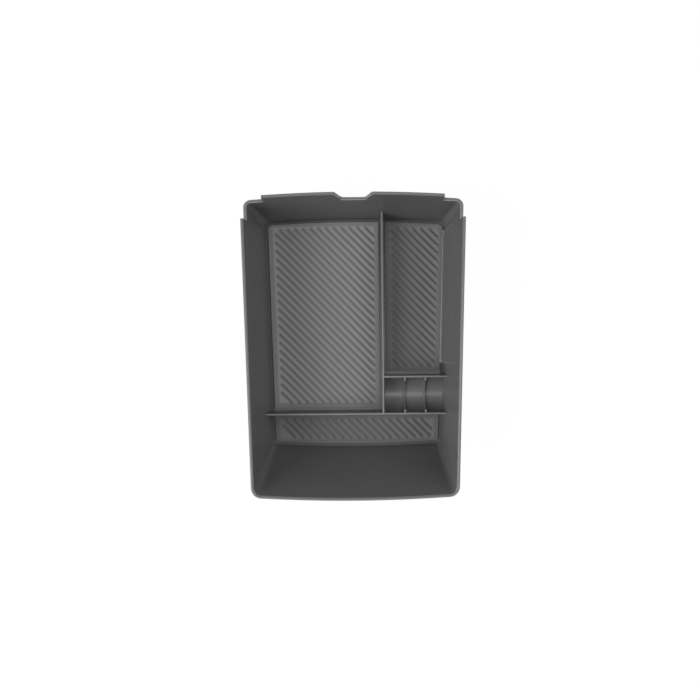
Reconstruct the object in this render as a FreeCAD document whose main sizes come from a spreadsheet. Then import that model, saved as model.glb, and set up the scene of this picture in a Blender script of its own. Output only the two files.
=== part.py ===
import FreeCAD, Part
import math
import os

import Sketcher

# Open tray with low dividers and a coin trough, and three loose mats lying on its floor.
# Millimetres. X runs to the right, Y to the back and Z up. The tray rests on the plane Z = 0.

Vector = FreeCAD.Vector
doc = FreeCAD.newDocument("console_box")
sizes = doc.addObject("Spreadsheet::Sheet", "sizes")

# Sizes that are set by hand
DRIVING = [
    ("tray_length", 250, "front crest to back crest of the rim"),
    ("tray_mid_width", 176, "outside of the rim at half length"),
    ("side_taper", 1.78, "degrees that each side wall turns in toward the front"),
    ("tray_height", 75, "base to rim"),
    ("wall", 2.5, "wall thickness, measured level"),
    ("floor_thickness", 2.5, "floor of the bays"),
    ("side_lean", 6.5, "a side wall leans out this much over the height"),
    ("back_lean", 4.8, "the back wall leans out this much over the height"),
    ("front_lean", 33, "the front wall leans out this much over the height"),
    ("bow_radius", 1200, "front and back walls bow out on this radius"),
    ("rim_back_radius", 6, "outer corner at the rim, back"),
    ("rim_front_radius", 8.5, "outer corner at the rim, front"),
    ("foot_back_radius", 9, "outer corner at the base, back"),
    ("foot_front_radius", 7, "outer corner at the base, front"),
    ("base_round", 1.5, "bevel along the outer edge of the base"),
    ("bay_round", 1.5, "bevel inside, where the walls meet the floor"),
    ("rim_round", 0.8, "bevels along the top of the walls"),
    ("corner_cut_depth", 10, "the rim is lower by this much at both back corners"),
    ("tab_half_span", 74.3, "centre line to the outer end of a back tab"),
    ("corner_cut_length", 21, "back crest of the rim to the end of the full height side walls"),
    ("notch_top_width", 30, "notch between the back tabs, at the rim"),
    ("notch_bottom_width", 19.5, "notch between the back tabs, at its floor"),
    ("notch_depth", 14, "notch between the back tabs"),
    ("notch_round", 3, "lower corners of the notch"),
    ("notch_shoulder", 1.5, "bevel at the upper ends of the notch"),
    ("divider_height", 25.5, "above the floor"),
    ("divider_thickness", 2.2, "all three dividers"),
    ("divider_bevel", 0.6, "top edges of the dividers and inner edges of the ribs"),
    ("long_divider_x", 24.2, "middle of the lengthwise divider"),
    ("front_bay_length", 31.2, "foot of the front wall to the middle of the cross divider"),
    ("coin_width", 30.6, "clear width of the coin trough"),
    ("coin_axis_drop", 3, "round part of the trough starts this far below the divider tops"),
    ("coin_shell", 2.2, "thickness of the trough"),
    ("coin_rib_thickness", 1.8, "ribs across the trough"),
    ("coin_rib_height", 2.8, "ribs stand this far off the trough"),
    ("pad_proud", 1.3, "shallow pad on the right wall, at its lower edge"),
    ("pad_top", 62, "the pad runs out into the wall at this height"),
    ("pad_front_gap", 14.6, "middle of the short divider to the front end of the pad"),
    ("pad_back_gap", 8.86, "back end of the pad to the foot of the back wall"),
    ("bead_height", 1.2, "narrow ledge along the foot of the pad"),
    ("bead_proud", 2.3, "narrow ledge along the foot of the pad"),
    ("nub_length", 4.5, "nub at each end of the ledge"),
    ("nub_height", 4, "nub at each end of the ledge"),
    ("nub_proud", 3.4, "nub at each end of the ledge"),
    ("nub_bevel", 0.5, "edges of the nubs"),
    ("mat_lift", 0.4, "ledge and nubs clear the mat by this much"),
    ("mat_thickness", 2.5, "all three mats"),
    ("mat_gap", 2, "mat edge to the foot of the wall or divider beside it"),
    ("mat_front_gap", 3.2, "front edge of a mat to the divider in front of it"),
    ("mat_border", 4.6, "plain border around the grooves"),
    ("groove_pitch", 5.3, "across the grooves"),
    ("groove_width", 4.4, "at the top of the mat, the sides slope down to a keel"),
    ("groove_depth", 1.2, "below the top of the mat"),
    ("left_groove_start", -28.9, "X + Y along one groove of the left mat"),
    ("right_groove_start", 163.9, "X + Y along one groove of the right mat"),
    ("front_groove_start", -36, "X + Y along one groove of the front mat"),
]

# Sizes that follow from them
DERIVED = [
    ("taper", "=side_taper * 1 deg"),
    ("rim_half", "=tray_mid_width / 2"),
    ("rim_end", "=tray_length / 2"),
    ("inner_share", "=1 - floor_thickness / tray_height"),
    ("bay_half", "=rim_half - wall - side_lean * inner_share"),
    ("bay_back", "=rim_end - wall - back_lean * inner_share"),
    ("bay_front", "=rim_end - wall - front_lean * inner_share"),
    ("side_wall_end", "=rim_end - corner_cut_length"),
    ("main_divider_y", "=front_bay_length - bay_front"),
    ("divider_top", "=floor_thickness + divider_height"),
    ("half_divider", "=divider_thickness / 2"),
    ("short_divider_y", "=main_divider_y + divider_thickness + coin_width"),
    ("pad_front", "=short_divider_y + pad_front_gap"),
    ("pad_back", "=bay_back - pad_back_gap"),
    ("coin_y", "=main_divider_y + half_divider + coin_width / 2"),
    ("coin_z", "=divider_top - coin_axis_drop"),
    ("coin_radius", "=coin_width / 2"),
    ("coin_start", "=long_divider_x + half_divider"),
    ("coin_end", "=bay_half + tan(taper) * coin_y + side_lean * divider_height / tray_height"),
    ("coin_pitch", "=(coin_end - coin_start) / 3"),
    ("shell_radius", "=coin_radius + coin_shell"),
    ("shell_side", "=coin_z - sqrt(shell_radius ^ 2 - coin_radius ^ 2)"),
    ("core_end", "=bay_half + tan(taper) * main_divider_y - base_round"),
    ("mat_top", "=floor_thickness + mat_thickness"),
    ("pad_foot", "=mat_top + mat_lift"),
    ("lean_rate", "=side_lean / tray_height"),
    ("pad_wall_foot", "=(bay_half + lean_rate * (pad_foot - floor_thickness)) * cos(taper)"),
    ("pad_wall_top", "=(bay_half + lean_rate * (pad_top - floor_thickness)) * cos(taper)"),
    ("notch_foot", "=tray_height - notch_depth"),
]


def fill_sheet():
    """Write both lists into the sheet, one named cell a row."""
    row = 0
    for name, value, note in DRIVING:
        row += 1
        sizes.set(f"A{row}", name)
        sizes.set(f"B{row}", str(value))
        sizes.set(f"C{row}", note)
        sizes.setAlias(f"B{row}", name)
    for name, formula in DERIVED:
        row += 1
        sizes.set(f"A{row}", name)
        sizes.set(f"B{row}", formula)
        sizes.setAlias(f"B{row}", name)
    doc.recompute()


def number(expression):
    """Value of an expression on the sheet, as a plain number."""
    value = sizes.evalExpression(expression)
    return float(getattr(value, "Value", value))


def new_sketch(body, name, plane, offset):
    """Sketch on one of the body's own planes, moved along its normal by an expression."""
    sketch = body.newObject("Sketcher::SketchObject", name)
    support = [item for item in body.Origin.OriginFeatures if item.Role == plane]
    sketch.AttachmentSupport = [(support[0], "")]
    sketch.MapMode = "FlatFace"
    sketch.setExpression("AttachmentOffset.Base.z", offset)
    return sketch


def drive(sketch, expression, kind, *where):
    """Add one dimension and bind it to the sheet."""
    index = sketch.addConstraint(Sketcher.Constraint(kind, *where, number(expression)))
    sketch.setExpression(f"Constraints[{index}]", expression)


def pin(sketch, curve, end, across, up):
    """Hold one end of a curve at two distances from the origin."""
    drive(sketch, across, "DistanceX", -1, 1, curve, end)
    drive(sketch, up, "DistanceY", -1, 1, curve, end)


def polyline(sketch, corners, closed=True):
    """Straight edges through the corners, each corner held by two expressions."""
    points = [Vector(number(across), number(up), 0) for across, up in corners]
    count = len(points) if closed else len(points) - 1
    for index in range(count):
        sketch.addGeometry(Part.LineSegment(points[index], points[(index + 1) % len(points)]), False)
    joints = count if closed else count - 1
    for index in range(joints):
        sketch.addConstraint(Sketcher.Constraint("Coincident", index, 2, (index + 1) % count, 1))
    for index, (across, up) in enumerate(corners):
        if index < count:
            pin(sketch, index, 1, across, up)
        else:
            pin(sketch, index - 1, 2, across, up)


def rectangle(sketch, left, right, low, high):
    polyline(sketch, [(left, low), (right, low), (right, high), (left, high)])


def close_with_arc(sketch, radius, centre_across, centre_up):
    """Close a run of straight edges with an arc below its centre, from the last end to the first start."""
    last = sketch.GeometryCount - 1
    centre = Vector(number(centre_across), number(centre_up), 0)
    first = sketch.Geometry[last].EndPoint - centre
    second = sketch.Geometry[0].StartPoint - centre
    start = math.atan2(first.y, first.x)
    stop = math.atan2(second.y, second.x)
    if stop < start:
        stop += 2 * math.pi
    circle = Part.Circle(centre, Vector(0, 0, 1), number(radius))
    arc = sketch.addGeometry(Part.ArcOfCircle(circle, start, stop), False)
    sketch.addConstraint(Sketcher.Constraint("Coincident", last, 2, arc, 1))
    sketch.addConstraint(Sketcher.Constraint("Coincident", arc, 2, 0, 1))
    drive(sketch, centre_up, "DistanceY", -1, 1, arc, 3)


def corner_centre(half, taper, bow_centre_y, bow_radius, radius, toward):
    """Middle of a corner arc that touches the right side line and one bowed end."""
    along = Vector(math.sin(taper), math.cos(taper), 0)
    inward = Vector(-math.cos(taper), math.sin(taper), 0)
    start = Vector(half, 0, 0) + inward * radius - Vector(0, bow_centre_y, 0)
    reach = bow_radius - radius
    middle = start.dot(along)
    step = -middle + toward * math.sqrt(middle * middle - start.dot(start) + reach * reach)
    return start + along * step + Vector(0, bow_centre_y, 0)


def tray_outline(body, name, height, inset, corners):
    """Outline at one height, inset from the outer walls: two straight sides, two bowed ends, four corner arcs."""
    sketch = new_sketch(body, name, "XY_Plane", height)
    below_rim = f"(1 - ({height}) / sizes.tray_height)"
    half = f"sizes.rim_half - sizes.side_lean * {below_rim} - ({inset})"
    back = f"sizes.rim_end - sizes.back_lean * {below_rim} - ({inset})"
    front = f"sizes.rim_end - sizes.front_lean * {below_rim} - ({inset})"
    back_radius = f"sizes.{corners}_back_radius - ({inset})"
    front_radius = f"sizes.{corners}_front_radius - ({inset})"
    taper = math.radians(number("sizes.side_taper"))
    bow = number("sizes.bow_radius")
    upward = Vector(0, 0, 1)
    inward = Vector(-math.cos(taper), math.sin(taper), 0)
    ends = []
    for crest, radius, toward in ((back, back_radius, 1), (front, front_radius, -1)):
        bow_centre = Vector(0, toward * (number(crest) - bow), 0)
        size = number(radius)
        middle = corner_centre(number(half), taper, bow_centre.y, bow, size, toward)
        side_touch = middle - inward * size
        away = middle - bow_centre
        end_touch = bow_centre + away * (bow / away.Length)
        ends.append((bow_centre, size, middle, side_touch, end_touch))

    def mirrored(point):
        return Vector(-point.x, point.y, 0)

    def arc(centre, radius, first, second):
        start = math.atan2(first.y - centre.y, first.x - centre.x)
        stop = math.atan2(second.y - centre.y, second.x - centre.x)
        if stop < start:
            stop += 2 * math.pi
        return Part.ArcOfCircle(Part.Circle(centre, upward, radius), start, stop)

    back_end, front_end = ends
    curves = [
        Part.LineSegment(front_end[3], back_end[3]),
        arc(back_end[2], back_end[1], back_end[3], back_end[4]),
        arc(back_end[0], bow, back_end[4], mirrored(back_end[4])),
        arc(mirrored(back_end[2]), back_end[1], mirrored(back_end[4]), mirrored(back_end[3])),
        Part.LineSegment(mirrored(back_end[3]), mirrored(front_end[3])),
        arc(mirrored(front_end[2]), front_end[1], mirrored(front_end[3]), mirrored(front_end[4])),
        arc(front_end[0], bow, mirrored(front_end[4]), front_end[4]),
        arc(front_end[2], front_end[1], front_end[4], front_end[3]),
    ]
    right, back_right, back_bow, back_left, left, front_left, front_bow, front_right = range(len(curves))
    sketch.addGeometry(curves, False)
    for index in range(len(curves)):
        following = (index + 1) % len(curves)
        sketch.addConstraint(Sketcher.Constraint("Tangent", index, 2, following, 1))
    sketch.addConstraint(Sketcher.Constraint("Symmetric", right, 1, left, 2, -2))
    sketch.addConstraint(Sketcher.Constraint("Symmetric", right, 2, left, 1, -2))
    sketch.addConstraint(Sketcher.Constraint("PointOnObject", back_bow, 3, -2))
    sketch.addConstraint(Sketcher.Constraint("PointOnObject", front_bow, 3, -2))
    drive(sketch, f"({half}) * cos(sizes.taper)", "Distance", -1, 1, right)
    drive_angle = sketch.addConstraint(Sketcher.Constraint("Angle", right, math.pi / 2 - taper))
    sketch.setExpression(f"Constraints[{drive_angle}]", "90 deg - sizes.taper")
    drive(sketch, back_radius, "Radius", back_right)
    drive(sketch, front_radius, "Radius", front_right)
    drive(sketch, "sizes.bow_radius", "Radius", back_bow)
    drive(sketch, "sizes.bow_radius", "Radius", front_bow)
    drive(sketch, f"({back}) - sizes.bow_radius", "DistanceY", -1, 1, back_bow, 3)
    drive(sketch, f"sizes.bow_radius - ({front})", "DistanceY", -1, 1, front_bow, 3)
    return sketch


def loft(body, name, lowest, *above):
    feature = body.newObject("PartDesign::AdditiveLoft", name)
    feature.Profile = lowest
    feature.Sections = list(above)
    feature.Ruled = True
    return feature


def extrude(body, kind, name, sketch, length=None, reverse=False, both_ways=False):
    """Pad or pocket a sketch by an expression, or right through where no length is given."""
    feature = body.newObject(f"PartDesign::{kind}", name)
    feature.Profile = sketch
    if both_ways:
        feature.SideType = "Symmetric"
    if length is None:
        feature.Type = "ThroughAll"
    else:
        feature.setExpression("Length", length)
    feature.Reversed = reverse
    sketch.Visibility = False
    return feature


def round_edges(body, name, base, radius, chosen):
    """Fillet the edges of a feature that a test picks out."""
    doc.recompute()
    names = [f"Edge{index + 1}" for index, edge in enumerate(base.Shape.Edges) if chosen(edge, base.Shape)]
    feature = body.newObject("PartDesign::Fillet", name)
    feature.Base = (base, names)
    feature.setExpression("Radius", radius)
    return feature


def bevel_edges(body, name, base, size, chosen):
    """Chamfer the edges of a feature that a test picks out."""
    doc.recompute()
    names = [f"Edge{index + 1}" for index, edge in enumerate(base.Shape.Edges) if chosen(edge, base.Shape)]
    feature = body.newObject("PartDesign::Chamfer", name)
    feature.Base = (base, names)
    feature.setExpression("Size", size)
    return feature


def join(body, name, kind, tool):
    feature = body.newObject("PartDesign::Boolean", name)
    feature.Type = kind
    feature.addObjects([tool])
    return feature


def level(edge, height):
    """True where all of an edge lies at one height."""
    return abs(edge.BoundBox.ZMin - height) < 1e-4 and abs(edge.BoundBox.ZMax - height) < 1e-4


def upright(face):
    """True where the middle of a face stands straight up."""
    first, last, low, high = face.ParameterRange
    return abs(face.normalAt((first + last) / 2, (low + high) / 2).z) < 1e-4


def trough_section(body, name, offset, radius):
    """Solid left and right of the coin trough and under it, across the two dividers that hold it."""
    sketch = new_sketch(body, name, "YZ_Plane", offset)
    polyline(
        sketch,
        [
            (f"sizes.coin_y + ({radius})", "sizes.coin_z"),
            (f"sizes.coin_y + ({radius})", "sizes.divider_top"),
            ("sizes.short_divider_y", "sizes.divider_top"),
            ("sizes.short_divider_y", "sizes.floor_thickness / 2"),
            ("sizes.main_divider_y", "sizes.floor_thickness / 2"),
            ("sizes.main_divider_y", "sizes.divider_top"),
            (f"sizes.coin_y - ({radius})", "sizes.divider_top"),
            (f"sizes.coin_y - ({radius})", "sizes.coin_z"),
        ],
        closed=False,
    )
    close_with_arc(sketch, radius, "sizes.coin_y", "sizes.coin_z")
    return sketch


def build_hollow():
    """Room inside the tray. What is cut away from it is left standing as dividers, trough and ribs."""
    body = doc.addObject("PartDesign::Body", "hollow")
    bay_top = "sizes.floor_thickness + sizes.bay_round"
    lip_foot = "sizes.tray_height - sizes.rim_round"
    loft(
        body, "hollow_form",
        tray_outline(body, "bay_outline", "sizes.floor_thickness", "sizes.wall + sizes.bay_round", "foot"),
        tray_outline(body, "wall_foot_outline", bay_top, "sizes.wall", "foot"),
        tray_outline(body, "wall_top_outline", lip_foot, "sizes.wall", "rim"),
        tray_outline(body, "mouth_outline", "sizes.tray_height", "sizes.wall - sizes.rim_round", "rim"),
    )

    beyond = "sizes.tray_mid_width"
    main = new_sketch(body, "main_divider_plan", "XY_Plane", "sizes.divider_top")
    rectangle(
        main, f"-{beyond}", beyond,
        "sizes.main_divider_y - sizes.half_divider", "sizes.main_divider_y + sizes.half_divider",
    )
    extrude(body, "Pocket", "main_divider", main)
    long = new_sketch(body, "long_divider_plan", "XY_Plane", "sizes.divider_top")
    rectangle(
        long, "sizes.long_divider_x - sizes.half_divider", "sizes.long_divider_x + sizes.half_divider",
        "sizes.main_divider_y", "sizes.tray_length",
    )
    extrude(body, "Pocket", "long_divider", long)
    short = new_sketch(body, "short_divider_plan", "XY_Plane", "sizes.divider_top")
    rectangle(
        short, "sizes.long_divider_x", beyond,
        "sizes.short_divider_y - sizes.half_divider", "sizes.short_divider_y + sizes.half_divider",
    )
    extrude(body, "Pocket", "short_divider", short)

    trough = trough_section(body, "coin_trough_section", "sizes.long_divider_x", "sizes.coin_radius")
    extrude(body, "Pocket", "coin_trough", trough, beyond, reverse=True)
    rib_radius = "sizes.coin_radius - sizes.coin_rib_height"
    for index in (1, 2):
        place = f"sizes.coin_start + {index} * sizes.coin_pitch"
        rib = trough_section(body, f"coin_rib_section_{index}", place, rib_radius)
        extrude(body, "Pocket", f"coin_rib_{index}", rib, "sizes.coin_rib_thickness", both_ways=True)
    return body


def build_wall_pad():
    """Shallow pad on the right wall, with a narrow ledge along its foot and a nub at each end of that."""
    body = doc.addObject("PartDesign::Body", "wall_pad")
    bite = "sizes.wall / 2"
    section = new_sketch(body, "pad_section", "XZ_Plane", "-sizes.pad_front")
    polyline(
        section,
        [
            ("sizes.pad_wall_foot - sizes.pad_proud", "sizes.pad_foot"),
            (f"sizes.pad_wall_foot + {bite}", "sizes.pad_foot"),
            (f"sizes.pad_wall_top + {bite}", "sizes.pad_top"),
            ("sizes.pad_wall_top", "sizes.pad_top"),
        ],
    )
    feature = extrude(body, "Pad", "pad", section, "sizes.pad_back - sizes.pad_front", reverse=True)
    whole = "sizes.pad_back - sizes.pad_front"
    nub = "sizes.nub_length"
    strips = (
        ("bead", f"sizes.pad_front + {nub} / 2", f"{whole} - {nub}", "bead"),
        ("front_nub", "sizes.pad_front", nub, "nub"),
        ("back_nub", f"sizes.pad_back - {nub}", nub, "nub"),
    )
    for name, place, length, kind in strips:
        high = f"sizes.{kind}_height"
        proud = f"sizes.{kind}_proud"
        wall_top = f"sizes.pad_wall_foot + sizes.lean_rate * {high} * cos(sizes.taper)"
        strip = new_sketch(body, f"{name}_section", "XZ_Plane", f"-({place})")
        polyline(
            strip,
            [
                (f"sizes.pad_wall_foot - {proud}", "sizes.pad_foot"),
                ("sizes.pad_wall_foot", "sizes.pad_foot"),
                (wall_top, f"sizes.pad_foot + {high}"),
                (f"{wall_top} - {proud}", f"sizes.pad_foot + {high}"),
            ],
        )
        feature = extrude(body, "Pad", name, strip, length, reverse=True)

    def stands_off(edge, shape):
        """True for the outer edges of the nubs."""
        return edge.BoundBox.XMax < number("sizes.pad_wall_foot - sizes.bead_proud") - 0.05

    bevel_edges(body, "nub_bevel", feature, "sizes.nub_bevel", stands_off)
    body.setExpression("Placement.Rotation.Angle", "-sizes.taper")
    return body


def build_tray():
    body = doc.addObject("PartDesign::Body", "tray")
    loft(
        body, "outer_form",
        tray_outline(body, "base_outline", "0", "sizes.base_round", "foot"),
        tray_outline(body, "heel_outline", "sizes.base_round", "0", "foot"),
        tray_outline(body, "lip_outline", "sizes.tray_height - sizes.rim_round", "0", "rim"),
        tray_outline(body, "rim_outline", "sizes.tray_height", "sizes.rim_round", "rim"),
    )
    join(body, "hollowing", "Cut", build_hollow())
    join(body, "right_wall_pad", "Fuse", build_wall_pad())

    tab_end = "sizes.tab_half_span"
    beyond = "sizes.tray_mid_width"
    for side, left, right in (("right", tab_end, beyond), ("left", f"-{beyond}", f"-{tab_end}")):
        corner = new_sketch(body, f"{side}_corner_cut_plan", "XY_Plane", "sizes.tray_height")
        rectangle(corner, left, right, "sizes.side_wall_end", "sizes.tray_length")
        extrude(body, "Pocket", f"{side}_corner_cut", corner, "sizes.corner_cut_depth")

    notch = new_sketch(body, "back_notch_section", "XZ_Plane", "-sizes.side_wall_end")
    shoulder = "sizes.notch_shoulder"
    polyline(
        notch,
        [
            ("-sizes.notch_bottom_width / 2", "sizes.notch_foot"),
            ("sizes.notch_bottom_width / 2", "sizes.notch_foot"),
            ("sizes.notch_top_width / 2", f"sizes.tray_height - {shoulder}"),
            (f"sizes.notch_top_width / 2 + {shoulder}", "sizes.tray_height"),
            (f"-sizes.notch_top_width / 2 - {shoulder}", "sizes.tray_height"),
            ("-sizes.notch_top_width / 2", f"sizes.tray_height - {shoulder}"),
        ],
    )
    feature = extrude(body, "Pocket", "back_notch", notch, "sizes.tray_length / 2")

    def notch_corner(edge, shape):
        """True for the two edges that cross the wall at the floor of the notch."""
        box = edge.BoundBox
        across = abs(abs(box.Center.x) - number("sizes.notch_bottom_width / 2")) < 0.01
        return across and level(edge, number("sizes.notch_foot")) and box.XLength < 0.01

    round_edges(body, "notch_rounding", feature, "sizes.notch_round", notch_corner)

    under = new_sketch(body, "trough_underside_section", "YZ_Plane", "sizes.coin_start")
    near = "sizes.main_divider_y + sizes.half_divider"
    far = "sizes.short_divider_y - sizes.half_divider"
    below = "-sizes.floor_thickness"
    polyline(
        under,
        [(far, "sizes.shell_side"), (far, below), (near, below), (near, "sizes.shell_side")],
        closed=False,
    )
    close_with_arc(under, "sizes.shell_radius", "sizes.coin_y", "sizes.coin_z")
    room = "sizes.core_end - sizes.coin_start"
    feature = extrude(body, "Pocket", "trough_underside", under, room, reverse=True)

    def along_divider(edge, shape):
        """True for the top edges of the dividers and for the inner edges of the ribs."""
        box = edge.BoundBox
        rib_radius = number("sizes.coin_radius - sizes.coin_rib_height")
        rib_foot = number("sizes.coin_z") - rib_radius
        if box.XLength < 0.01 and abs(box.ZMin - rib_foot) < 0.05 and abs(box.YLength - 2 * rib_radius) < 0.05:
            return True
        if not level(edge, number("sizes.divider_top")):
            return False
        return any(upright(face) for face in shape.ancestorsOfType(edge, Part.Face))

    bevel_edges(body, "divider_bevel", feature, "sizes.divider_bevel", along_divider)
    return body


def mat_region(name, form, left, right, low, high):
    """The part of the floor form that lies in one bay."""
    block = doc.addObject("Part::Box", f"{name}_bay")
    block.setExpression("Length", f"({right}) - ({left})")
    block.setExpression("Width", f"({high}) - ({low})")
    block.setExpression("Height", "sizes.tray_height")
    block.setExpression("Placement.Base.x", left)
    block.setExpression("Placement.Base.y", low)
    blank = doc.addObject("Part::Common", f"{name}_blank")
    blank.Base = form
    blank.Tool = block
    return blank


def groove_span(total, limits, rounds):
    """Ends of the diagonal X + Y = total inside some straight edges and bowed ends, or None."""
    along = Vector(1, -1, 0).normalize()
    start = Vector(total / 2, total / 2, 0)
    low, high = -math.inf, math.inf
    for point, inward in limits:
        room = (start - point).dot(inward)
        rate = along.dot(inward)
        if rate > 0:
            low = max(low, -room / rate)
        else:
            high = min(high, -room / rate)
    for centre, radius in rounds:
        reach = start - centre
        middle = reach.dot(along)
        under = middle * middle - reach.dot(reach) + radius * radius
        if under <= 0:
            return None
        low = max(low, -middle - math.sqrt(under))
        high = min(high, -middle + math.sqrt(under))
    if high - low < number("sizes.groove_width"):
        return None
    return start + along * low, start + along * high


def groove(start, stop, width, depth):
    """Solid with sloping sides and blunt ends over a keel, that cuts one groove below the plane Z = 0."""
    rise = 0.1
    blunt = 0.4
    along = (stop - start).normalize() * (width / 2) * (1 + rise)
    side = Vector(-along.y, along.x, 0)
    up = Vector(0, 0, depth * rise)
    keel_start = start - Vector(0, 0, depth)
    keel_stop = stop - Vector(0, 0, depth)
    end_steps = ((blunt, -1), (1, -blunt), (1, blunt), (blunt, 1))
    near_stop = [stop + along * forward + side * across + up for forward, across in end_steps]
    near_start = [start - along * forward - side * across + up for forward, across in end_steps]
    outlines = [
        near_stop + near_start,
        [near_start[3], near_stop[0], keel_stop, keel_start],
        [near_stop[3], near_start[0], keel_start, keel_stop],
    ]
    for corners, keel in ((near_stop, keel_stop), (near_start, keel_start)):
        for index in range(len(corners) - 1):
            outlines.append([corners[index], corners[index + 1], keel])
    faces = [Part.Face(Part.makePolygon(outline + outline[:1])) for outline in outlines]
    solid = Part.Solid(Part.Shell(faces))
    if solid.Volume < 0:
        solid.reverse()
    return solid


def build_mat(name, form, left, right, low, high):
    """One loose mat. A bound of None is a wall of the tray, the others are divider faces."""
    far = "sizes.tray_length"
    blank = mat_region(
        name, form, left or f"-{far}", right or far, low or f"-{far}", high or far,
    )
    width = number("sizes.groove_width")
    depth = number("sizes.groove_depth")
    inset = number("sizes.mat_border") + width / 2
    wall_inset = inset + number("sizes.mat_gap")
    taper = math.radians(number("sizes.side_taper"))
    bow = number("sizes.bow_radius")
    foot = number("sizes.bay_half")
    limits = []
    if left:
        limits.append((Vector(number(left) + inset, 0, 0), Vector(1, 0, 0)))
    else:
        inward = Vector(math.cos(taper), math.sin(taper), 0)
        limits.append((Vector(-foot, 0, 0) + inward * wall_inset, inward))
    if right:
        limits.append((Vector(number(right) - inset, 0, 0), Vector(-1, 0, 0)))
    else:
        inward = Vector(-math.cos(taper), math.sin(taper), 0)
        limits.append((Vector(foot, 0, 0) + inward * wall_inset, inward))
    rounds = []
    if low:
        limits.append((Vector(0, number(low) + inset, 0), Vector(0, 1, 0)))
    else:
        rounds.append((Vector(0, bow - number("sizes.bay_front"), 0), bow - wall_inset))
    if high:
        limits.append((Vector(0, number(high) - inset, 0), Vector(0, -1, 0)))
    else:
        rounds.append((Vector(0, number("sizes.bay_back") - bow, 0), bow - wall_inset))

    step = number("sizes.groove_pitch") * math.sqrt(2)
    reach = number("sizes.tray_length") + number("sizes.tray_mid_width")
    phase = number(f"sizes.{name.split('_')[0]}_groove_start") % step
    slots = []
    for index in range(-int(reach / step), int(reach / step)):
        span = groove_span(phase + index * step, limits, rounds)
        if span:
            slots.append(groove(*span, width, depth))
    grooves = doc.addObject("Part::Feature", f"{name}_grooves")
    grooves.Shape = Part.makeCompound(slots)
    grooves.setExpression("Placement.Base.z", "sizes.mat_top")
    mat = doc.addObject("Part::Cut", name)
    mat.Base = blank
    mat.Tool = grooves
    return mat


def build_mats():
    form = doc.addObject("PartDesign::Body", "mat_form")
    outline = tray_outline(form, "mat_outline", "sizes.floor_thickness", "sizes.wall + sizes.mat_gap", "foot")
    extrude(form, "Pad", "mat_sheet", outline, "sizes.mat_thickness")
    beside = "(sizes.half_divider + sizes.mat_gap)"
    behind = "(sizes.half_divider + sizes.mat_front_gap)"
    left_end = f"sizes.long_divider_x - {beside}"
    right_start = f"sizes.long_divider_x + {beside}"
    return [
        build_mat("left_mat", form, None, left_end, f"sizes.main_divider_y + {behind}", None),
        build_mat("right_mat", form, right_start, None, f"sizes.short_divider_y + {behind}", None),
        build_mat("front_mat", form, None, None, None, f"sizes.main_divider_y - {beside}"),
    ]


fill_sheet()
tray = build_tray()
mats = build_mats()
doc.recompute()

for item in doc.Objects:
    if "Invalid" in item.State or "Error" in item.State:
        raise RuntimeError(f"{item.Name} did not recompute: {item.State}")
    if item.isDerivedFrom("Sketcher::SketchObject"):
        if not item.FullyConstrained:
            raise RuntimeError(f"{item.Name} is not fully constrained")
    elif hasattr(item, "Shape") and (item.Shape.isNull() or not item.Shape.isValid()):
        raise RuntimeError(f"{item.Name} has no valid shape")

os.makedirs("parts", exist_ok=True)
for node in [tray] + mats:
    if len(node.Shape.Solids) != 1:
        raise RuntimeError(f"{node.Label} is not one solid")
    node.Shape.exportStep(f"parts/{node.Label}.step")
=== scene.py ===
import math

import bmesh
import bpy
from mathutils import Matrix, Vector


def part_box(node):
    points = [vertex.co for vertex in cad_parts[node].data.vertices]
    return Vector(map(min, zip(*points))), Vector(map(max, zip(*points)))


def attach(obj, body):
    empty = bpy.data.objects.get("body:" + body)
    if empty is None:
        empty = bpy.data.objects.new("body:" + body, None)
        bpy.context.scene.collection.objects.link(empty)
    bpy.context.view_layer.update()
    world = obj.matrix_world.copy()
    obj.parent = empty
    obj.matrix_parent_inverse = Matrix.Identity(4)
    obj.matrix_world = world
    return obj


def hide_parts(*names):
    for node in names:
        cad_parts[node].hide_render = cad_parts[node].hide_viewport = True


MM = 0.001

# Camera straight above the tray, and the pixel of a square picture that lies straight below it
IMAGE_SIDE = 700
CAMERA_HEIGHT = 547 * MM
CAMERA_X = 13.5 * MM
CAMERA_Y = -6.3 * MM
CAMERA_TURN = math.radians(-0.5)
FOCAL_PIXELS = 586
FOOT_PIXEL_X = 371
FOOT_PIXEL_Y = 354

# Width of the camera's sensor, in the millimetres that a camera counts in
SENSOR_WIDTH = 36

# Colours as they look on the object, with painted highlight and painted shade where marked
TRAY_GREY = "#565656"
TRAY_GREY_DARK = "#525252"
# Painted highlight: the pale grey that the tray's convex edges turn
TRAY_EDGE_HIGHLIGHT_GREY = "#949494"
# Painted shade: the three mats are one rubber, and the right and front mats are given darker greys for the
# shade they lie in
MAT_RIDGE_GREYS = {"left_mat": "#7d7d7d", "right_mat": "#676767", "front_mat": "#606060"}
# Painted shade: each mat's border along its sides is a darker grey than its ridges
MAT_BORDER_SHADE_GREYS = {"left_mat": "#6a6a6a", "right_mat": "#5e5e5e", "front_mat": "#555555"}
# Painted shade: each mat's grooves are a darker grey than its ridges
MAT_VALLEY_SHADE_GREYS = {"left_mat": "#656565", "right_mat": "#5c5c5c", "front_mat": "#555555"}

# Gloss of moulded ABS, whose roughness wanders a little, and of dry rubber
ABS_IOR = 1.53
ABS_SPECULAR = 0.3
ABS_ROUGHNESS_LOW = 0.30
ABS_ROUGHNESS_HIGH = 0.36
RUBBER_IOR = 1.52
RUBBER_SPECULAR = 0.2
RUBBER_ROUGHNESS = 0.72

# Millimetres across the spots of each pattern
# The real grain and tooth are finer, and are drawn this coarse so that a close view shows them
TRAY_CLOUD_SIZE = 40
TRAY_GRAIN_SIZE = 0.5
MAT_CLOUD_SIZE = 12
MAT_TOOTH_SIZE = 0.4

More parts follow.
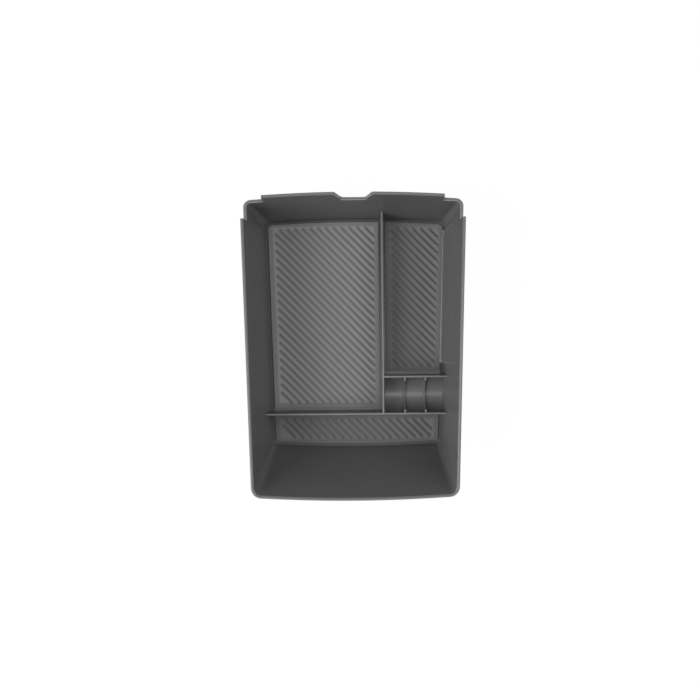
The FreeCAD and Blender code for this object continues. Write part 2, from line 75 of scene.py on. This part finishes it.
# Relief of the tray's grain and of the mats' tooth
TRAY_GRAIN_DEPTH = 0.05 * MM
TRAY_GRAIN_STRENGTH = 0.25
MAT_TOOTH_DEPTH = 0.06 * MM
MAT_TOOTH_STRENGTH = 0.3

# Soft rounding that a moulded edge and a pressed edge show
TRAY_EDGE_ROUND = 0.4 * MM
MAT_EDGE_ROUND = 0.3 * MM
ROUND_SAMPLES = 6

# Painted highlight on the tray's convex edges: how far inwards another face counts, and the openness there
# at no highlight and at full highlight
EDGE_HIGHLIGHT_REACH = 0.9 * MM
EDGE_HIGHLIGHT_NONE = 0.9
EDGE_HIGHLIGHT_FULL = 0.4
EDGE_HIGHLIGHT_SAMPLES = 8

# The rubber's tone wanders between these shares of its grey
MOTTLE_DARK = 0.94
MOTTLE_PALE = 1.03

# Painted shade in the grooves: below this share of the mat's thickness they are as dark as at their foot
VALLEY_SHADE_SHARE = 0.6

# Painted shade along a mat's sides: between these distances from them the border's darker grey turns into
# the ridges' grey
BORDER_SHADE_START = 2.76 * MM
BORDER_SHADE_END = 5.52 * MM

# The side walls close in to the front by this angle, and these sides of the mats lean with them
SIDE_TAPER = math.radians(1.78)
LEANING_SIDES = {"left_mat": ("left",), "right_mat": ("right",), "front_mat": ("left", "right")}

# Diagonal grooves with a keel: a hair over the size of the solids' grooves, which they run on from
GROOVE_PITCH = 5.3 * MM
GROOVE_WIDTH = 4.5 * MM
GROOVE_DEPTH = 1.23 * MM

# As shares of a groove's size: where the corners of its ends are cut, and how far its cutter stands proud
GROOVE_BLUNT_END = 0.4
GROOVE_RISE = 0.1

# X + Y along one groove, and the plain rim from the grooves' ends to each side of a mat
GROOVE_STARTS = {"left_mat": -28.9 * MM, "right_mat": 163.9 * MM, "front_mat": -36 * MM}
PLAIN_RIMS = {
    "left_mat": {"left": 4.0 * MM, "right": 2.0 * MM, "front": 2.6 * MM, "back": 2.8 * MM},
    "right_mat": {"left": 4.0 * MM, "right": 2.0 * MM, "front": 3.0 * MM, "back": 2.8 * MM},
    "front_mat": {"left": 4.2 * MM, "right": 3.4 * MM, "front": 2.8 * MM, "back": 2.4 * MM},
}

# One end of each mat bows with the tray's end
BOWED_ENDS = {"left_mat": "back", "right_mat": "back", "front_mat": "front"}
BOW_RADIUS = 1200 * MM

# White floor: half its side in metres, its paper, and the share of plain white over the shadow it takes
FLOOR_REACH = 3.0
FLOOR_WHITE = "#f6f6f6"
FLOOR_GLOW_SHARE = 0.96

# Dim even dome with square softboxes around the tray: name, place and side in metres, and power in watts
LIGHT_WHITE = "#ffffff"
DOME_STRENGTH = 0.12
LIGHT_AIM = (0, 0, 0.03)
SOFTBOXES = (
    ("overhead softbox", (-0.02, -0.06, 1.0), 0.4, 3.4),
    ("left softbox", (-0.77, -0.25, 0.66), 0.9, 15.2),
    ("right softbox", (0.75, 0.05, 0.75), 0.9, 7.2),
)

# Places of a mix node's two colours among its inputs, and of the mixed colour among its outputs
MIX_FIRST = 6
MIX_SECOND = 7
MIX_COLOUR = 2


def linear(hex_colour):
    """Linear RGBA of an sRGB hex colour."""
    channels = []
    for start in (1, 3, 5):
        value = int(hex_colour[start:start + 2], 16) / 255
        channels.append(value / 12.92 if value <= 0.04045 else ((value + 0.055) / 1.055) ** 2.4)
    return (*channels, 1.0)


def add_node(tree, kind, settings=None, inputs=None):
    """Add one shader node. Inputs are values, or (node, output name) pairs to link from."""
    node = tree.nodes.new(kind)
    for name, value in (settings or {}).items():
        setattr(node, name, value)
    for name, value in (inputs or {}).items():
        if isinstance(value, tuple) and isinstance(value[0], bpy.types.Node):
            tree.links.new(value[0].outputs[value[1]], node.inputs[name])
        else:
            node.inputs[name].default_value = value
    return node


def new_material(name):
    """An empty material and its node tree."""
    material = bpy.data.materials.new(name)
    material.use_nodes = True
    material.node_tree.nodes.clear()
    return material, material.node_tree


def per_metre(size_mm):
    """Noise scale that gives spots of about this size."""
    return 1 / (size_mm * MM)


def moulded_abs():
    """Grey ABS, injection moulded in a spark eroded tool."""
    # It gives the eye a fine even grain, a soft sheen, and a painted highlight along the convex edges
    material, tree = new_material("moulded ABS, fine grain")
    place = add_node(tree, "ShaderNodeTexCoord")
    cloud = add_node(
        tree, "ShaderNodeTexNoise", {},
        {"Vector": (place, "Object"), "Scale": per_metre(TRAY_CLOUD_SIZE), "Detail": 3.0, "Roughness": 0.5},
    )
    tone = add_node(
        tree, "ShaderNodeMix", {"data_type": "RGBA"},
        {"Factor": (cloud, "Fac"), MIX_FIRST: linear(TRAY_GREY_DARK), MIX_SECOND: linear(TRAY_GREY)},
    )
    # Painted highlight: convex edges, where another face lies close inside, turn pale grey
    thin = add_node(
        tree, "ShaderNodeAmbientOcclusion", {"inside": True, "only_local": True, "samples": EDGE_HIGHLIGHT_SAMPLES},
        {"Distance": EDGE_HIGHLIGHT_REACH},
    )
    edge = add_node(
        tree, "ShaderNodeMapRange", {},
        {"Value": (thin, "AO"), "From Min": EDGE_HIGHLIGHT_NONE, "From Max": EDGE_HIGHLIGHT_FULL},
    )
    highlighted = add_node(
        tree, "ShaderNodeMix", {"data_type": "RGBA"},
        {
            "Factor": (edge, "Result"), MIX_FIRST: (tone, MIX_COLOUR),
            MIX_SECOND: linear(TRAY_EDGE_HIGHLIGHT_GREY),
        },
    )
    grain = add_node(
        tree, "ShaderNodeTexNoise", {},
        {"Vector": (place, "Object"), "Scale": per_metre(TRAY_GRAIN_SIZE), "Detail": 2.0, "Roughness": 0.6},
    )
    soft_edge = add_node(tree, "ShaderNodeBevel", {"samples": ROUND_SAMPLES}, {"Radius": TRAY_EDGE_ROUND})
    relief = add_node(
        tree, "ShaderNodeBump", {},
        {
            "Height": (grain, "Fac"), "Strength": TRAY_GRAIN_STRENGTH, "Distance": TRAY_GRAIN_DEPTH,
            "Normal": (soft_edge, "Normal"),
        },
    )
    sheen = add_node(
        tree, "ShaderNodeMapRange", {},
        {"Value": (cloud, "Fac"), "To Min": ABS_ROUGHNESS_LOW, "To Max": ABS_ROUGHNESS_HIGH},
    )
    plastic = add_node(
        tree, "ShaderNodeBsdfPrincipled", {},
        {
            "Base Color": (highlighted, MIX_COLOUR), "Roughness": (sheen, "Result"), "Normal": (relief, "Normal"),
            "IOR": ABS_IOR, "Specular IOR Level": ABS_SPECULAR,
        },
    )
    add_node(tree, "ShaderNodeOutputMaterial", {}, {"Surface": (plastic, "BSDF")})
    return material


def mat_sides(node):
    """A point on each side of a mat, with the direction that leads into the mat."""
    low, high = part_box(node)
    lean = {side: SIDE_TAPER if side in LEANING_SIDES[node] else 0 for side in ("left", "right")}
    from_left = Vector((math.cos(lean["left"]), math.sin(lean["left"]), 0))
    from_right = Vector((-math.cos(lean["right"]), math.sin(lean["right"]), 0))
    return {
        "left": (Vector((low[0], high[1], 0)), from_left),
        "right": (Vector((high[0], high[1], 0)), from_right),
        "front": (Vector((0, low[1], 0)), Vector((0, 1, 0))),
        "back": (Vector((0, high[1], 0)), Vector((0, -1, 0))),
    }


def groove_lines(node):
    """Ends of the keel of each groove of a mat, on the plane Z = 0."""
    low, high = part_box(node)
    step = GROOVE_PITCH * math.sqrt(2)
    first = math.ceil((low[0] + low[1] - GROOVE_STARTS[node]) / step)
    last = math.floor((high[0] + high[1] - GROOVE_STARTS[node]) / step)
    along = Vector((1, -1, 0)).normalized()
    for index in range(first, last + 1):
        half = (GROOVE_STARTS[node] + index * step) / 2
        base = Vector((half, half, 0))
        near, far = -math.inf, math.inf
        for side, (point, inward) in mat_sides(node).items():
            room = (base - point).dot(inward) - PLAIN_RIMS[node][side] - GROOVE_WIDTH / 2
            rate = along.dot(inward)
            if side == BOWED_ENDS[node]:
                end = base - along * room / rate
                room -= end.x * end.x / (2 * BOW_RADIUS)
            if rate > 0:
                near = max(near, -room / rate)
            else:
                far = min(far, -room / rate)
        if far - near > GROOVE_WIDTH:
            yield base + along * near, base + along * far


def cut_groove(shape, start, stop, top):
    """Add a keel with sloping sides and blunt ends, as deep as one groove below the mat's top."""
    along = (stop - start).normalized() * (GROOVE_WIDTH / 2) * (1 + GROOVE_RISE)
    side = Vector((-along.y, along.x, 0))
    up = Vector((0, 0, top + GROOVE_DEPTH * GROOVE_RISE))
    down = Vector((0, 0, top - GROOVE_DEPTH))
    steps = ((GROOVE_BLUNT_END, -1), (1, -GROOVE_BLUNT_END), (1, GROOVE_BLUNT_END), (GROOVE_BLUNT_END, 1))
    count = len(steps)
    ends = [stop + along * forward + side * across + up for forward, across in steps]
    ends += [start - along * forward - side * across + up for forward, across in steps]
    crown = [shape.verts.new(place) for place in ends]
    keel_stop = shape.verts.new(stop + down)
    keel_start = shape.verts.new(start + down)
    shape.faces.new(crown)
    shape.faces.new((crown[count - 1], keel_stop, keel_start, crown[count]))
    shape.faces.new((crown[-1], keel_start, keel_stop, crown[0]))
    for corners, keel in ((crown[:count], keel_stop), (crown[count:], keel_start)):
        for index in range(count - 1):
            shape.faces.new((corners[index + 1], corners[index], keel))


def groove_cutter(node):
    """All grooves of a mat as one loose cutting tool."""
    shape = bmesh.new()
    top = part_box(node)[1][2]
    for start, stop in groove_lines(node):
        cut_groove(shape, start, stop, top)
    bmesh.ops.recalc_face_normals(shape, faces=shape.faces)
    mesh = bpy.data.meshes.new("groove cutter")
    shape.to_mesh(mesh)
    shape.free()
    cutter = bpy.data.objects.new("groove cutter", mesh)
    bpy.context.scene.collection.objects.link(cutter)
    return cutter


def press_mat(node):
    """A mat with the outline of its solid, and grooves that run on closer to its sides."""
    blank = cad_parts[node]
    mat = bpy.data.objects.new(f"{node}_pressed", blank.data.copy())
    bpy.context.scene.collection.objects.link(mat)
    cutter = groove_cutter(node)
    press = mat.modifiers.new("grooves", "BOOLEAN")
    press.object = cutter
    press.operation = "DIFFERENCE"
    press.solver = "EXACT"
    finished = mat.evaluated_get(bpy.context.evaluated_depsgraph_get())
    mesh = bpy.data.meshes.new_from_object(finished)
    mat.modifiers.clear()
    mat.data = mesh
    bpy.data.objects.remove(cutter)
    mat.data.materials.clear()
    mat.data.materials.append(pressed_rubber(node))
    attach(mat, "root")
    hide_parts(node)


def room_to_sides(tree, node):
    """Distance to the nearest side of a mat."""
    where = add_node(tree, "ShaderNodeNewGeometry")
    nearest = None
    for point, inward in mat_sides(node).values():
        offset = add_node(
            tree, "ShaderNodeVectorMath", {"operation": "SUBTRACT"}, {0: (where, "Position"), 1: point},
        )
        room = add_node(
            tree, "ShaderNodeVectorMath", {"operation": "DOT_PRODUCT"}, {0: (offset, "Vector"), 1: inward},
        )
        if nearest is None:
            nearest = (room, "Value")
        else:
            smaller = add_node(
                tree, "ShaderNodeMath", {"operation": "MINIMUM"}, {0: nearest, 1: (room, "Value")},
            )
            nearest = (smaller, "Value")
    return nearest


def pressed_rubber(node):
    """Grey rubber, pressed in a grooved plate."""
    # It gives the eye a dry matte skin with a fine tooth, with painted shade down in the grooves and along
    # the mat's sides
    material, tree = new_material(f"pressed rubber, matte, {node}")
    place = add_node(tree, "ShaderNodeTexCoord")
    cloud = add_node(
        tree, "ShaderNodeTexNoise", {},
        {"Vector": (place, "Object"), "Scale": per_metre(MAT_CLOUD_SIZE), "Detail": 4.0, "Roughness": 0.55},
    )
    # Painted shade: the border along the mat's sides is darker, fading inwards into the ridges' grey
    inside = add_node(
        tree, "ShaderNodeMapRange", {"interpolation_type": "SMOOTHSTEP"},
        {"Value": room_to_sides(tree, node), "From Min": BORDER_SHADE_START, "From Max": BORDER_SHADE_END},
    )
    crest = add_node(
        tree, "ShaderNodeMix", {"data_type": "RGBA"},
        {
            "Factor": (inside, "Result"), MIX_FIRST: linear(MAT_BORDER_SHADE_GREYS[node]),
            MIX_SECOND: linear(MAT_RIDGE_GREYS[node]),
        },
    )
    # Painted shade: the grooves darken with depth below the mat's top
    low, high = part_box(node)
    where = add_node(tree, "ShaderNodeNewGeometry")
    height = add_node(tree, "ShaderNodeSeparateXYZ", {}, {"Vector": (where, "Position")})
    foot = low[2] + VALLEY_SHADE_SHARE * (high[2] - low[2])
    rise = add_node(
        tree, "ShaderNodeMapRange", {"interpolation_type": "SMOOTHSTEP"},
        {"Value": (height, "Z"), "From Min": foot, "From Max": high[2]},
    )
    tone = add_node(
        tree, "ShaderNodeMix", {"data_type": "RGBA"},
        {
            "Factor": (rise, "Result"), MIX_FIRST: linear(MAT_VALLEY_SHADE_GREYS[node]),
            MIX_SECOND: (crest, MIX_COLOUR),
        },
    )
    mottle = add_node(
        tree, "ShaderNodeMapRange", {},
        {"Value": (cloud, "Fac"), "To Min": MOTTLE_DARK, "To Max": MOTTLE_PALE},
    )
    skin = add_node(
        tree, "ShaderNodeVectorMath", {"operation": "SCALE"},
        {0: (tone, MIX_COLOUR), "Scale": (mottle, "Result")},
    )
    tooth = add_node(
        tree, "ShaderNodeTexNoise", {},
        {"Vector": (place, "Object"), "Scale": per_metre(MAT_TOOTH_SIZE), "Detail": 2.0, "Roughness": 0.6},
    )
    soft_edge = add_node(tree, "ShaderNodeBevel", {"samples": ROUND_SAMPLES}, {"Radius": MAT_EDGE_ROUND})
    relief = add_node(
        tree, "ShaderNodeBump", {},
        {
            "Height": (tooth, "Fac"), "Strength": MAT_TOOTH_STRENGTH, "Distance": MAT_TOOTH_DEPTH,
            "Normal": (soft_edge, "Normal"),
        },
    )
    rubber = add_node(
        tree, "ShaderNodeBsdfPrincipled", {},
        {
            "Base Color": (skin, "Vector"), "Roughness": RUBBER_ROUGHNESS, "Normal": (relief, "Normal"),
            "IOR": RUBBER_IOR, "Specular IOR Level": RUBBER_SPECULAR,
        },
    )
    add_node(tree, "ShaderNodeOutputMaterial", {}, {"Surface": (rubber, "BSDF")})
    return material


def background_rays(tree):
    """One for rays that show the background: straight from the camera, or by a gloss or through glass."""
    ray = add_node(tree, "ShaderNodeLightPath")
    mirrored = add_node(
        tree, "ShaderNodeMath", {"operation": "MAXIMUM"},
        {0: (ray, "Is Glossy Ray"), 1: (ray, "Is Transmission Ray")},
    )
    seen = add_node(
        tree, "ShaderNodeMath", {"operation": "MAXIMUM"},
        {0: (ray, "Is Camera Ray"), 1: (mirrored, "Value")},
    )
    return seen, "Value"


def studio_floor():
    """Paper sweep, rolled out flat."""
    # It gives the eye a plain white that still takes the tray's shadow
    material, tree = new_material("white paper sweep")
    paper = add_node(tree, "ShaderNodeBsdfDiffuse", {}, {"Color": linear(FLOOR_WHITE)})
    glow = add_node(tree, "ShaderNodeEmission", {}, {"Color": linear(LIGHT_WHITE), "Strength": 1.0})
    share = add_node(
        tree, "ShaderNodeMath", {"operation": "MULTIPLY"}, {0: background_rays(tree), 1: FLOOR_GLOW_SHARE},
    )
    blend = add_node(
        tree, "ShaderNodeMixShader", {},
        {"Fac": (share, "Value"), 1: (paper, "BSDF"), 2: (glow, "Emission")},
    )
    add_node(tree, "ShaderNodeOutputMaterial", {}, {"Surface": (blend, "Shader")})
    return material


def dress(node, material):
    """Give a CAD node one finish."""
    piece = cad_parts[node]
    piece.data.materials.clear()
    piece.data.materials.append(material)


def lay_floor():
    """A square floor under the tray, which is no piece of the object."""
    low, high = -FLOOR_REACH, FLOOR_REACH
    corners = [(low, low, 0), (high, low, 0), (high, high, 0), (low, high, 0)]
    mesh = bpy.data.meshes.new("floor")
    mesh.from_pydata(corners, [], [(0, 1, 2, 3)])
    floor = bpy.data.objects.new("floor", mesh)
    bpy.context.scene.collection.objects.link(floor)
    floor.data.materials.append(studio_floor())


def hang_light(name, place, side, power):
    """A square softbox that faces the tray."""
    lamp = bpy.data.lights.new(name, "AREA")
    lamp.shape = "SQUARE"
    lamp.size = side
    lamp.energy = power
    lamp.color = linear(LIGHT_WHITE)[:3]
    item = bpy.data.objects.new(name, lamp)
    bpy.context.scene.collection.objects.link(item)
    direction = Vector(LIGHT_AIM) - Vector(place)
    item.location = place
    item.rotation_euler = direction.to_track_quat("-Z", "Y").to_euler()


def light_studio():
    """White backdrop for the eye, a dim dome for the object, and the softboxes."""
    world = bpy.data.worlds.new("studio")
    bpy.context.scene.world = world
    world.use_nodes = True
    tree = world.node_tree
    tree.nodes.clear()
    dome = add_node(
        tree, "ShaderNodeBackground", {}, {"Color": linear(LIGHT_WHITE), "Strength": DOME_STRENGTH},
    )
    backdrop = add_node(tree, "ShaderNodeBackground", {}, {"Color": linear(LIGHT_WHITE), "Strength": 1.0})
    blend = add_node(
        tree, "ShaderNodeMixShader", {},
        {"Fac": background_rays(tree), 1: (dome, "Background"), 2: (backdrop, "Background")},
    )
    add_node(tree, "ShaderNodeOutputWorld", {}, {"Surface": (blend, "Shader")})
    for softbox in SOFTBOXES:
        hang_light(*softbox)


def place_camera():
    """A camera that looks straight down, shifted so that its foot falls on its pixel."""
    data = bpy.data.cameras.new("camera")
    data.sensor_width = SENSOR_WIDTH
    data.lens = FOCAL_PIXELS / IMAGE_SIDE * SENSOR_WIDTH
    middle = IMAGE_SIDE / 2
    data.shift_x = (middle - FOOT_PIXEL_X) / IMAGE_SIDE
    data.shift_y = (FOOT_PIXEL_Y - middle) / IMAGE_SIDE
    camera = bpy.data.objects.new("camera", data)
    bpy.context.scene.collection.objects.link(camera)
    place = Matrix.Translation((CAMERA_X, CAMERA_Y, CAMERA_HEIGHT))
    camera.matrix_world = place @ Matrix.Rotation(CAMERA_TURN, 4, "Z")
    bpy.context.scene.camera = camera


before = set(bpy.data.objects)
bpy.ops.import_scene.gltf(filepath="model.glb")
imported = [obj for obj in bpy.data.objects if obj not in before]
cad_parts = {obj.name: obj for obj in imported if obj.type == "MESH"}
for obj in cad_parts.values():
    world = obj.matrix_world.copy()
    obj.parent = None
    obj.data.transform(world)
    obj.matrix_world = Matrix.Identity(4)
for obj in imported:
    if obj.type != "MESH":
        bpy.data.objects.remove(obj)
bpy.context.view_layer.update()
bpy.context.scene.view_settings.view_transform = "Standard"
dress("tray", moulded_abs())
for mat in GROOVE_STARTS:
    press_mat(mat)
lay_floor()
light_studio()
place_camera()
